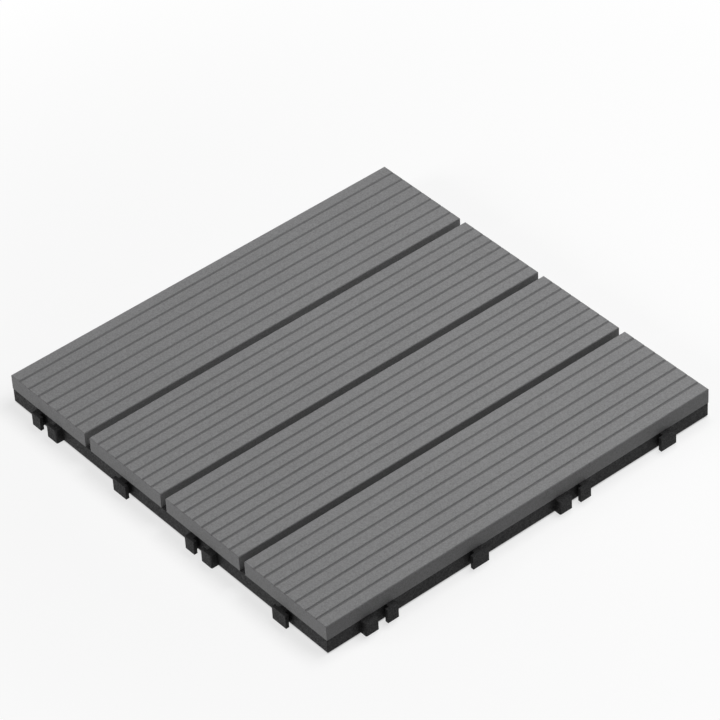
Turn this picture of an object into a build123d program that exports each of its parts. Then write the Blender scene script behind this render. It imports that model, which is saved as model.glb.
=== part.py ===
from build123d import *
import os

# A deck tile: four grooved slats screwed from below to one moulded base,
# whose sides carry the heads and slots that lock tiles together.
# X runs along the slats, Y across them, and Z is up from the ground.
# The origin is the centre of the tile at ground level.

# Slats
slat_length = 300.0
outer_slat_width = 73.75
inner_slat_width = 68.75
slat_thickness = 11.0
slat_gap = 5.0
slat_edge_radius = 0.8
slat_end_chamfer = 0.4

# Grooves in the tread, narrower at the bottom than at the top
groove_count = 7
outer_groove_pitch = 9.4
inner_groove_pitch = 8.6
groove_top_width = 2.0
groove_floor_width = 1.0
groove_depth = 0.6

# Moulded base
base_height = 9.8
skirt_inset = 0.1
skirt_wall = 2.0
skirt_corner_radius = 0.4
rib_wall = 1.6
shallow_rib_height = 6.0
cells_along = 12
full_ribs_along = (-5, -4, -2, 2, 4, 5)
screw_rib_offset = 12.5

# Legs stand below the skirt, as tubes moulded through the base
leg_drop = 1.2
leg_diameter = 11.0
leg_bore_diameter = 7.0
leg_crossings = (-5, -2, 2, 5)

# Screws, heads down in counterbored bosses
screw_crossings = (-4, 4)
screw_shank_diameter = 3.6
screw_length = 12.0
screw_tip_length = 2.0
screw_head_diameter = 7.6
screw_head_height = 2.2
screw_head_edge_height = 0.9
recess_length = 4.2
recess_width = 0.9
recess_depth = 1.2
screw_hole_clearance = 0.4
pilot_clearance = 0.05
pilot_end_clearance = 0.5
boss_floor = 3.0
boss_wall = 1.8
counterbore_clearance = 0.7

# Connectors: a T-shaped head on one tile drops into the slot of the next
connector_pitch = 75.0
connectors_per_side = 4
plate_thickness = 2.4
plate_fit_clearance = 0.3
head_width = 12.2
head_side_clearance = 0.4
neck_width = 5.6
neck_side_clearance = 0.75
short_jaw_width = 8.2
long_jaw_width = 9.3
jaw_corner_radius = 1.0

# Values that follow from the sizes above
slat_widths = [outer_slat_width, inner_slat_width, inner_slat_width, outer_slat_width]
groove_pitches = [outer_groove_pitch, inner_groove_pitch, inner_groove_pitch, outer_groove_pitch]
slat_names = ["front_slat", "front_middle_slat", "back_middle_slat", "back_slat"]
tile_width = sum(slat_widths) + slat_gap * (len(slat_widths) - 1)
skirt_bottom = leg_drop
base_top = skirt_bottom + base_height
base_length = slat_length - 2 * skirt_inset
base_width = tile_width - 2 * skirt_inset
cell_pitch = base_length / cells_along
screw_seat = base_top - boss_floor
counterbore_diameter = screw_head_diameter + 2 * counterbore_clearance
boss_diameter = counterbore_diameter + 2 * boss_wall
standoff = plate_thickness + plate_fit_clearance
reach = standoff + plate_thickness
slot_width = neck_width + 2 * neck_side_clearance
pocket_half_width = head_width / 2 + head_side_clearance


def slat_centres():
    """Y of each slat's centre line, from the front to the back."""
    centres = []
    edge = -tile_width / 2
    for width in slat_widths:
        centres.append(edge + width / 2)
        edge += width + slat_gap
    return centres


def full_rib_lines_across():
    """Y of each full-height rib that runs along X: two under each slat."""
    return [centre + side * screw_rib_offset for centre in slat_centres() for side in (-1, 1)]


def gap_lines():
    """Y of the middle of each gap between slats."""
    edges = [centre + width / 2 for centre, width in zip(slat_centres(), slat_widths)]
    return [edge + slat_gap / 2 for edge in edges[:-1]]


def full_rib_lines_along():
    """X of each full-height rib that runs along Y: those with the legs and screws."""
    return [crossing * cell_pitch for crossing in full_ribs_along]


def all_rib_lines_along():
    return [(i - cells_along / 2) * cell_pitch for i in range(1, cells_along)]


def screw_points(centre):
    """The four places where screws enter the slat with this centre line."""
    return [
        (crossing * cell_pitch, centre + side * screw_rib_offset)
        for crossing in screw_crossings
        for side in (-1, 1)
    ]


def leg_points():
    return [
        (crossing * cell_pitch, centre + side * screw_rib_offset)
        for crossing in leg_crossings
        for centre in slat_centres()
        for side in (-1, 1)
    ]


# Slats
def groove_profile():
    return Polygon(
        (-groove_top_width / 2, 0),
        (groove_top_width / 2, 0),
        (groove_floor_width / 2, -groove_depth),
        (-groove_floor_width / 2, -groove_depth),
        align=None,
    )


def end_wedge():
    """Takes the tread's edge off the right-hand end of a slat at 45 degrees."""
    end = slat_length / 2
    leg = slat_end_chamfer
    profile = Polygon(
        (end + leg, slat_thickness - 2 * leg),
        (end + leg, slat_thickness + leg),
        (end - 2 * leg, slat_thickness + leg),
        align=None,
    )
    return extrude(Plane.XZ * profile, outer_slat_width, both=True)


def slat(centre, width, pitch):
    outline = Rectangle(width, slat_thickness, align=(Align.CENTER, Align.MIN))
    tread_corners = outline.vertices().group_by(Axis.Y)[-1]
    profile = fillet(tread_corners, slat_edge_radius)
    for i in range(groove_count):
        offset = (i - (groove_count - 1) / 2) * pitch
        profile -= Pos(offset, slat_thickness) * groove_profile()
    body = extrude(Plane.YZ * profile, slat_length / 2, both=True)
    body -= [end_wedge(), mirror(end_wedge(), Plane.YZ)]
    body = Pos(0, centre, base_top) * body
    pilot_depth = screw_length - boss_floor + pilot_end_clearance
    pilot_radius = screw_shank_diameter / 2 + pilot_clearance
    for x, y in screw_points(centre):
        body -= Pos(x, y, base_top) * Cylinder(
            pilot_radius, pilot_depth, align=(Align.CENTER, Align.CENTER, Align.MIN)
        )
    return body


# Connectors, drawn on the front side: X runs along the side and -Y points outwards
def head_outline():
    neck = Rectangle(neck_width, standoff + skirt_wall / 2, align=(Align.CENTER, Align.MAX))
    neck = Pos(0, skirt_wall / 2) * neck
    plate = Pos(0, -standoff) * Rectangle(head_width, plate_thickness, align=(Align.CENTER, Align.MAX))
    return neck + plate


def jaw_outline(width):
    """One side of a slot, from the slot's edge out to its web, on the +X side."""
    inner = slot_width / 2
    outer = inner + width
    root = skirt_wall / 2
    return Polygon(
        (inner, -reach),
        (outer, -reach),
        (outer, root),
        (pocket_half_width, root),
        (pocket_half_width, -standoff),
        (inner, -standoff),
        align=None,
    )


def long_jaw_outline():
    jaw = jaw_outline(long_jaw_width)
    corner = jaw.vertices().group_by(Axis.Y)[0].sort_by(Axis.X)[-1]
    return fillet(corner, jaw_corner_radius)


def slot_outline():
    """The slot of the front side, with its long jaw on the left."""
    return mirror(long_jaw_outline(), Plane.YZ) + jaw_outline(short_jaw_width)


def side_connectors(slot):
    """Slot, head, slot, head from left to right, as seen from outside the side."""
    outline = Sketch()
    for i in range(connectors_per_side):
        shape = slot if i % 2 == 0 else head_outline()
        offset = (i - (connectors_per_side - 1) / 2) * connector_pitch
        outline += Pos(offset, 0) * shape
    return outline


def connectors():
    """All four sides; the base looks the same when it is turned half round."""
    front = Pos(0, -base_width / 2) * side_connectors(slot_outline())
    left_slot = mirror(slot_outline(), Plane.YZ)
    left = Rot(0, 0, -90) * Pos(0, -base_length / 2) * side_connectors(left_slot)
    half = front + left
    return half + Rot(0, 0, 180) * half


# Base
def cell_spans(rib_lines, overall):
    """Start and end of each open cell along one axis, between the ribs and the skirt."""
    rib_lines = sorted(rib_lines)
    starts = [-overall / 2 + skirt_wall] + [line + rib_wall / 2 for line in rib_lines]
    ends = [line - rib_wall / 2 for line in rib_lines] + [overall / 2 - skirt_wall]
    return list(zip(starts, ends))


def cells(lines_along, lines_across):
    faces = []
    for x0, x1 in cell_spans(lines_along, base_length):
        for y0, y1 in cell_spans(lines_across, base_width):
            faces.append(Pos((x0 + x1) / 2, (y0 + y1) / 2) * Rectangle(x1 - x0, y1 - y0))
    return faces


def base_outline(lines_along, lines_across):
    """The base seen from above, with ribs on the given lines."""
    skirt = RectangleRounded(base_length, base_width, skirt_corner_radius)
    outline = skirt + connectors()
    outline -= cells(lines_along, lines_across)
    outline += [Pos(x, y) * Circle(leg_diameter / 2) for x, y in leg_points()]
    for centre in slat_centres():
        outline += [Pos(x, y) * Circle(boss_diameter / 2) for x, y in screw_points(centre)]
    outline -= [Pos(x, y) * Circle(leg_bore_diameter / 2) for x, y in leg_points()]
    return outline


def legs():
    ring = Circle(leg_diameter / 2) - Circle(leg_bore_diameter / 2)
    return [extrude(Pos(x, y) * ring, leg_drop) for x, y in leg_points()]


def screw_holes():
    upwards = (Align.CENTER, Align.CENTER, Align.MIN)
    hole_radius = (screw_shank_diameter + screw_hole_clearance) / 2
    tools = []
    for centre in slat_centres():
        for x, y in screw_points(centre):
            tools.append(Pos(x, y, skirt_bottom) * Cylinder(hole_radius, base_height, align=upwards))
            depth = screw_seat - skirt_bottom
            tools.append(Pos(x, y, skirt_bottom) * Cylinder(counterbore_diameter / 2, depth, align=upwards))
    return tools


def base_grid():
    """Ribs with legs or screws run the base's full height, and the others are shallower."""
    full = base_outline(full_rib_lines_along(), full_rib_lines_across())
    shallow = base_outline(all_rib_lines_along(), full_rib_lines_across() + gap_lines())
    body = extrude(Pos(0, 0, skirt_bottom) * full, base_height)
    body += extrude(Pos(0, 0, base_top - shallow_rib_height) * shallow, shallow_rib_height)
    body += legs()
    body -= screw_holes()
    return body


# Screws
def screw():
    """One screw pointing up, its head's seat at Z = 0."""
    shank_radius = screw_shank_diameter / 2
    head_radius = screw_head_diameter / 2
    crown = -screw_head_height
    edge = -screw_head_edge_height
    with BuildSketch(Plane.XZ) as section:
        with BuildLine():
            Polyline(
                (0, crown),
                (0, screw_length),
                (shank_radius, screw_length - screw_tip_length),
                (shank_radius, 0),
                (head_radius, 0),
                (head_radius, edge),
            )
            TangentArc((0, crown), (head_radius, edge), tangent=(1, 0))
        make_face()
    body = revolve(section.sketch, Axis.Z)
    # The cross recess is cut from both sides of the crown, so that its domed top opens fully
    slot = Pos(0, 0, crown) * Box(recess_length, recess_width, 2 * recess_depth)
    cross = slot + Rot(0, 0, 90) * slot
    return body - cross


def screws():
    one = screw()
    placed = []
    for centre in slat_centres():
        placed += [Pos(x, y, screw_seat) * one for x, y in screw_points(centre)]
    return Compound(children=placed)


os.makedirs("parts", exist_ok=True)
for name, centre, width, pitch in zip(slat_names, slat_centres(), slat_widths, groove_pitches):
    export_step(slat(centre, width, pitch), f"parts/{name}.step")
export_step(base_grid(), "parts/base_grid.step")
export_step(screws(), "parts/screws.step")
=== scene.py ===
from math import cos, radians, sin

import bpy
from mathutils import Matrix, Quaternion, Vector


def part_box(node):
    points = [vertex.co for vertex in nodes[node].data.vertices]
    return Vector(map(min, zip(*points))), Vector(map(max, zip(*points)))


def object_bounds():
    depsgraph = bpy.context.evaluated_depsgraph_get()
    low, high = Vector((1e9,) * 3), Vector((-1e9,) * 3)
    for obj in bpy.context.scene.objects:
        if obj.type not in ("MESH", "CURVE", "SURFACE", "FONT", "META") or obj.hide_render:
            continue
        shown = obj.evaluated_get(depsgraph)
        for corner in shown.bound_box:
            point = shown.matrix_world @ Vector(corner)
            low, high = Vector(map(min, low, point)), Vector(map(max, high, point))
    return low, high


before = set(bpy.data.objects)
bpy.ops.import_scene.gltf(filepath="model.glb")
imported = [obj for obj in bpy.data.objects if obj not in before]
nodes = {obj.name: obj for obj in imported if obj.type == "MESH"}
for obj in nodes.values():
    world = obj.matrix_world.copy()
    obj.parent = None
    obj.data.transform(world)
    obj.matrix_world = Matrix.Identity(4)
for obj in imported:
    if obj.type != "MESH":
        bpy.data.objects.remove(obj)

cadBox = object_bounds()
tileTop = cadBox[1].z

# Lengths are in metres and colours are linear
millimetre = 0.001
white = (1, 1, 1, 1)

# Wear along an edge, from none to full as the softened normal turns away from the flat one
wearStops = [(0.02, 0.0), (0.25, 1.0)]
bevelSamples = 4


class Wire:  # an output socket, whose arithmetic adds Math nodes
    def __init__(self, graph, socket):
        self.graph = graph
        self.socket = socket

    def math(self, operation, *values):
        return self.graph.node("ShaderNodeMath", {"operation": operation}, dict(enumerate(values)))

    def __add__(self, other):
        return self.math("ADD", self, other)

    def __sub__(self, other):
        return self.math("SUBTRACT", self, other)

    def __mul__(self, other):
        return self.math("MULTIPLY", self, other)

    def __radd__(self, other):
        return self.math("ADD", other, self)

    def __rsub__(self, other):
        return self.math("SUBTRACT", other, self)

    def __rmul__(self, other):
        return self.math("MULTIPLY", other, self)

    def power(self, other):
        return self.math("POWER", self, other)

    def larger(self, other):
        return self.math("MAXIMUM", self, other)

    def absolute(self):
        return self.math("ABSOLUTE", self)


class Graph:  # the node tree of one material or world
    def __init__(self, owner):
        owner.use_nodes = True
        self.tree = owner.node_tree
        self.tree.nodes.clear()

    def node(self, kind, settings=None, inputs=None, output=0):
        made = self.tree.nodes.new(kind)
        for name, value in (settings or {}).items():
            if name == "stops":
                self.setStops(made.color_ramp, value)
            else:
                setattr(made, name, value)
        for name, value in (inputs or {}).items():
            if isinstance(value, Wire):
                self.tree.links.new(value.socket, made.inputs[name])
            else:
                made.inputs[name].default_value = value
        return Wire(self, made.outputs[output]) if made.outputs else made

    def setStops(self, ramp, stops):
        while len(ramp.elements) < len(stops):
            ramp.elements.new(1)
        for element, (place, level) in zip(ramp.elements, stops):
            element.position = place
            element.color = (level, level, level, 1)

    def place(self):
        return self.node("ShaderNodeTexCoord", output="Object")

    def noise(self, size, detail=2.0, roughness=0.5, where=None):  # specks of about this size
        inputs = {"Scale": 1 / size, "Detail": detail, "Roughness": roughness}
        inputs["Vector"] = where or self.place()
        return self.node("ShaderNodeTexNoise", inputs=inputs)

    def streaks(self, sizes, detail=2.0, roughness=0.5):  # specks with a size for each of X, Y and Z
        scale = [1 / size for size in sizes]
        where = self.node("ShaderNodeMapping", inputs={"Vector": self.place(), "Scale": scale})
        return self.noise(1.0, detail, roughness, where)

    def ramp(self, value, stops):
        return self.node("ShaderNodeValToRGB", {"stops": stops}, {"Fac": value})

    def grey(self, level):  # a varying level as a colour
        return self.node("ShaderNodeCombineColor", inputs={"Red": level, "Green": level, "Blue": level})

    def tinted(self, colour, level):  # a colour, made lighter or darker by a varying level
        settings = {"data_type": "RGBA", "blend_type": "MULTIPLY"}
        inputs = {0: 1.0, 6: colour, 7: self.grey(level)}  # the factor and the two colours
        return self.node("ShaderNodeMix", settings, inputs, 2)

    def bump(self, height, distance, strength, normal=None):
        inputs = {"Height": height, "Distance": distance, "Strength": strength}
        if normal:
            inputs["Normal"] = normal
        return self.node("ShaderNodeBump", inputs=inputs)

    def part(self, vector, axis):  # one component of a vector
        return self.node("ShaderNodeSeparateXYZ", inputs={"Vector": vector}, output=axis)

    def normal(self):
        return self.node("ShaderNodeNewGeometry", output="Normal")

    def between(self, value, low, high):  # 0 up to low, 1 from high on, and straight between
        inputs = {"Value": value, "From Min": low, "From Max": high}
        return self.node("ShaderNodeMapRange", inputs=inputs)

    # A normal that turns round the edges, and the wear there, from 0 to 1
    def softEdge(self, radius):
        rounded = self.node("ShaderNodeBevel", {"samples": bevelSamples}, {"Radius": radius})
        inputs = {0: rounded, 1: self.normal()}
        alike = self.node("ShaderNodeVectorMath", {"operation": "DOT_PRODUCT"}, inputs, "Value")
        return rounded, self.ramp(1.0 - alike, wearStops)

    def surface(self, inputs):
        shader = self.node("ShaderNodeBsdfPrincipled", inputs=inputs)
        self.node("ShaderNodeOutputMaterial", inputs={"Surface": shader})


def newMaterial(name):
    material = bpy.data.materials.new(name)
    return material, Graph(material)


# Slats: wood-plastic composite, sanded along its length and sawn at its ends
composite = {
    "colour": (0.205, 0.205, 0.207, 1),
    "roughness": 0.7,
    "gloss": 0.2,
    "relief": 0.1 * millimetre,
    "reliefStrength": 0.8,
    "mottleSize": 0.9 * millimetre,
    "mottleNoise": (6.0, 0.68),  # the noise's detail and roughness
    "mottleDepth": 1.25,
    "mottleMatt": 0.25,  # how much rougher the light specks are
    "brushSizes": (60 * millimetre, 0.5 * millimetre, 0.5 * millimetre),  # along X, Y and Z
    "brushNoise": (4.0, 0.65),
    "brushDepth": 0.16,
    "brushRelief": 0.8,
    "fleckSizes": (3.0 * millimetre, 0.4 * millimetre, 0.4 * millimetre),
    "fleckDetail": 1.0,
    "lightFleck": 0.14,
    "lightFleckStops": [(0.64, 0.0), (0.72, 1.0)],
    "darkFleck": 0.2,
    "darkFleckStops": [(0.27, 1.0), (0.36, 0.0)],
    "darkFleckRelief": 0.4,
    "cloudSize": 60 * millimetre,
    "cloudDepth": 0.1,
    "sawSizes": (1.1 * millimetre, 1.1 * millimetre, 55 * millimetre),
    "sawDepth": 0.1,
    "endLevel": 0.96,
    "endMatt": 0.1,
    "endSharpness": 8.0,  # how quickly a face that turns away from X stops being a sawn end
    "edgeRadius": 0.35 * millimetre,
    "edgeWear": 0.1,
    "edgePolish": 0.08,
    "grooveDepth": 0.6 * millimetre,
    "grooveFacing": (0.4, 0.6),  # the normal's Z, from a slat's side to a groove's sloping wall
    "groovePaintedShade": 0.4,  # painted shade: how much darker the grooves' floors and walls are painted, standing in for the shade inside them
}


def makeComposite():
    look = composite
    material, graph = newMaterial("composite")
    mottle = graph.noise(look["mottleSize"], *look["mottleNoise"]) - 0.5
    brush = graph.streaks(look["brushSizes"], *look["brushNoise"]) - 0.5
    fleck = graph.streaks(look["fleckSizes"], look["fleckDetail"])
    lightFleck = graph.ramp(fleck, look["lightFleckStops"])
    darkFleck = graph.ramp(fleck, look["darkFleckStops"])
    cloud = graph.noise(look["cloudSize"]) - 0.5
    saw = graph.streaks(look["sawSizes"]) - 0.5
    cutEnd = graph.part(graph.normal(), "X").absolute().power(look["endSharpness"])
    # Painted shade in the grooves: faces below the tread's top that point up far enough are masked to be
    # darkened
    sunk = graph.between(tileTop - graph.part(graph.place(), "Z"), 0.0, look["grooveDepth"])
    grooveShadeMask = sunk * graph.between(graph.part(graph.normal(), "Z"), *look["grooveFacing"])
    rounded, wear = graph.softEdge(look["edgeRadius"])

    along = brush * look["brushDepth"] * (1.0 - cutEnd)
    across = saw * look["sawDepth"] * cutEnd
    level = 1.0 + mottle * look["mottleDepth"] + along + across + cloud * look["cloudDepth"]
    level = level + lightFleck * look["lightFleck"] - darkFleck * look["darkFleck"]
    level = level * (1.0 - cutEnd * (1.0 - look["endLevel"])) + wear * look["edgeWear"]
    # Painted shade: the grooves are made darker, standing in for the shade inside them
    level = level * (1.0 - grooveShadeMask * look["groovePaintedShade"])
    matt = mottle * look["mottleMatt"] + cutEnd * look["endMatt"] - wear * look["edgePolish"]
    height = mottle + brush * (1.0 - cutEnd) * look["brushRelief"] + saw * cutEnd
    height = height - darkFleck * look["darkFleckRelief"]
    graph.surface({
        "Base Color": graph.tinted(look["colour"], level),
        "Roughness": look["roughness"] + matt,
        "Specular IOR Level": look["gloss"],
        "Normal": graph.bump(height, look["relief"], look["reliefStrength"], rounded),
    })
    return material


# Base: black moulded plastic with a fine sparked texture
basePlastic = {
    "colour": (0.011, 0.011, 0.0114, 1),
    "roughness": 0.62,
    "gloss": 0.2,
    "relief": 0.2 * millimetre,
    "reliefStrength": 0.8,
    "grainSize": 0.9 * millimetre,
    "grainNoise": (6.0, 0.72),
    "grainDepth": 7.0,
    "grainPolish": 1.5,  # how much smoother the light specks are
    "darkest": 0.25,  # the lowest level, in the dark specks
    "flowSize": 25 * millimetre,
    "flowDetail": 3.0,
    "flowDepth": 0.3,
    "flowMatt": 0.15,
    "edgeRadius": 0.3 * millimetre,
    "edgeWear": 0.5,
    "edgePolish": 0.1,
}


def makeBasePlastic():
    look = basePlastic
    material, graph = newMaterial("base_plastic")
    grain = graph.noise(look["grainSize"], *look["grainNoise"]) - 0.5
    flow = graph.noise(look["flowSize"], look["flowDetail"]) - 0.5
    rounded, wear = graph.softEdge(look["edgeRadius"])
    level = 1.0 + grain * look["grainDepth"] + flow * look["flowDepth"] + wear * look["edgeWear"]
    polish = grain * look["grainPolish"] - flow * look["flowMatt"] + wear * look["edgePolish"]
    graph.surface({
        "Base Color": graph.tinted(look["colour"], level.larger(look["darkest"])),
        "Roughness": look["roughness"] - polish,
        "Specular IOR Level": look["gloss"],
        "Normal": graph.bump(grain, look["relief"], look["reliefStrength"], rounded),
    })
    return material


# Screws: plain stainless steel
screwSteel = {
    "colour": (0.55, 0.55, 0.56, 1),
    "roughness": 0.32,
    "relief": 0.01 * millimetre,
    "reliefStrength": 0.5,
    "scuffSize": 1.2 * millimetre,
    "scuffDetail": 3.0,
    "scuffDepth": 0.2,
    "scuffMatt": 0.25,
}


def makeScrewSteel():
    look = screwSteel
    material, graph = newMaterial("screw_steel")
    scuff = graph.noise(look["scuffSize"], look["scuffDetail"]) - 0.5
    graph.surface({
        "Base Color": graph.tinted(look["colour"], 1.0 + scuff * look["scuffDepth"]),
        "Roughness": look["roughness"] + scuff * look["scuffMatt"],
        "Metallic": 1.0,
        "Normal": graph.bump(scuff, look["relief"], look["reliefStrength"]),
    })
    return material


def dressNodes():
    finishes = {"slat": makeComposite(), "base": makeBasePlastic(), "screws": makeScrewSteel()}
    for name, node in nodes.items():
        material = next(finish for word, finish in finishes.items() if word in name)
        for materialSlot in node.material_slots:
            materialSlot.link = "OBJECT"
            materialSlot.material = material
    print("materials on", len(nodes), "nodes")


# Stage: a pale floor that runs out into a white world, where a strength of 1 is white
stageLook = {
    "floorSize": 6.0,
    "floorColour": 0.95,
    "bounceColour": 0.5,  # what the floor sends back to the tile's sides
    "glow": 0.7,  # how much of the floor near the tile shows as plain white
    "glowEdge": 2 * millimetre,  # over which the glow sets in, because beneath the slats there is none
    "whiteFrom": 0.2,  # how far from the tile's centre the floor begins to turn plain white
    "whiteTo": 0.5,
    "skyLevel": 0.043,  # what the world itself adds to the light
}


def seenDirectly(graph):  # 1 for camera, mirror and glass rays, and 0 for light that bounces
    camera = graph.node("ShaderNodeLightPath", output="Is Camera Ray")
    glossy = graph.node("ShaderNodeLightPath", output="Is Glossy Ray")
    clear = graph.node("ShaderNodeLightPath", output="Is Transmission Ray")
    return camera.larger(glossy.larger(clear))


def outsideTile(graph, softness):  # 0 beneath the slats and 1 outside them, on the floor
    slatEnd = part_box("front_slat")[1].x
    fromMiddle = [graph.part(graph.place(), axis).absolute() for axis in ("X", "Y")]
    furthest = fromMiddle[0].larger(fromMiddle[1])
    return graph.between(furthest, slatEnd - softness, slatEnd)


def makeFloor():
    look = stageLook
    material, graph = newMaterial("floor")
    seen = seenDirectly(graph)
    shade = look["bounceColour"] + seen * (look["floorColour"] - look["bounceColour"])
    matt = graph.node("ShaderNodeBsdfDiffuse", inputs={"Color": graph.grey(shade)})
    glow = graph.node("ShaderNodeEmission", inputs={"Color": white, "Strength": 1.0})
    fromCentre = graph.node("ShaderNodeVectorMath", {"operation": "LENGTH"}, {0: graph.place()}, "Value")
    far = graph.between(fromCentre, look["whiteFrom"], look["whiteTo"])
    glowing = look["glow"] + far * (1.0 - look["glow"])
    shown = seen * glowing * outsideTile(graph, look["glowEdge"])
    mixed = graph.node("ShaderNodeMixShader", inputs={0: shown, 1: matt, 2: glow})
    graph.node("ShaderNodeOutputMaterial", inputs={"Surface": mixed})
    bpy.ops.mesh.primitive_plane_add(size=look["floorSize"], location=(0, 0, cadBox[0].z))
    floor = bpy.context.object
    floor.name = "floor"
    floor.data.materials.append(material)
    print("floor laid")


def makeWorld():
    look = stageLook
    world = bpy.data.worlds.new("studio")
    bpy.context.scene.world = world
    graph = Graph(world)
    strength = look["skyLevel"] + seenDirectly(graph) * (1.0 - look["skyLevel"])
    sky = graph.node("ShaderNodeBackground", inputs={"Color": white, "Strength": strength})
    graph.node("ShaderNodeOutputWorld", inputs={"Surface": sky})
    print("world made")


# Lamps: each is a square softbox aimed at the tile's centre
lamps = {
    "backLeftSoftbox": {"azimuth": -105, "elevation": 20, "distance": 3.0, "size": 1.4, "power": 44},
    "frontRightSoftbox": {"azimuth": 35, "elevation": 48, "distance": 2.0, "size": 0.9, "power": 7.6},
    "overheadSoftbox": {"azimuth": 78, "elevation": 72, "distance": 0.89, "size": 0.5, "power": 5.3},
}


def directionTo(azimuth, elevation):  # azimuth 0 is the front and 90 the right side
    turn = radians(azimuth)
    rise = radians(elevation)
    return Vector((sin(turn) * cos(rise), -cos(turn) * cos(rise), sin(rise)))


def makeLamps():
    for name, lamp in lamps.items():
        light = bpy.data.lights.new(name, "AREA")
        light.size = lamp["size"]
        light.energy = lamp["power"]
        lampObject = bpy.data.objects.new(name, light)
        bpy.context.scene.collection.objects.link(lampObject)
        towards = directionTo(lamp["azimuth"], lamp["elevation"])
        lampObject.location = towards * lamp["distance"]
        lampObject.rotation_euler = towards.to_track_quat("Z", "Y").to_euler()
    print(len(lamps), "lamps hung")


# Camera: a long lens, as in the photograph
cameraLook = {
    "azimuth": -38.045,
    "elevation": 40.528,
    "roll": -3.407,
    "distance": 2.4923,
    "aimAcross": (0.01433, 0.01422),  # where the lens's axis meets the tread
    "focalLength": 204.54,  # in millimetres, as is the sensor
    "sensorWidth": 36.0,
    "clipStart": 0.05,
    "clipEnd": 50.0,
}


def makeCamera():
    look = cameraLook
    lens = bpy.data.cameras.new("camera")
    lens.lens = look["focalLength"]
    lens.sensor_width = look["sensorWidth"]
    lens.clip_start = look["clipStart"]
    lens.clip_end = look["clipEnd"]
    camera = bpy.data.objects.new("camera", lens)
    bpy.context.scene.collection.objects.link(camera)
    towards = directionTo(look["azimuth"], look["elevation"])
    aim = Vector((*look["aimAcross"], tileTop))
    camera.location = aim + towards * look["distance"]
    camera.rotation_mode = "QUATERNION"
    level = towards.to_track_quat("Z", "Y")
    camera.rotation_quaternion = level @ Quaternion((0, 0, 1), radians(look["roll"]))
    bpy.context.scene.camera = camera
    print("camera set")


dressNodes()
makeFloor()
makeWorld()
makeLamps()
makeCamera()
bpy.context.scene.view_settings.view_transform = "Standard"
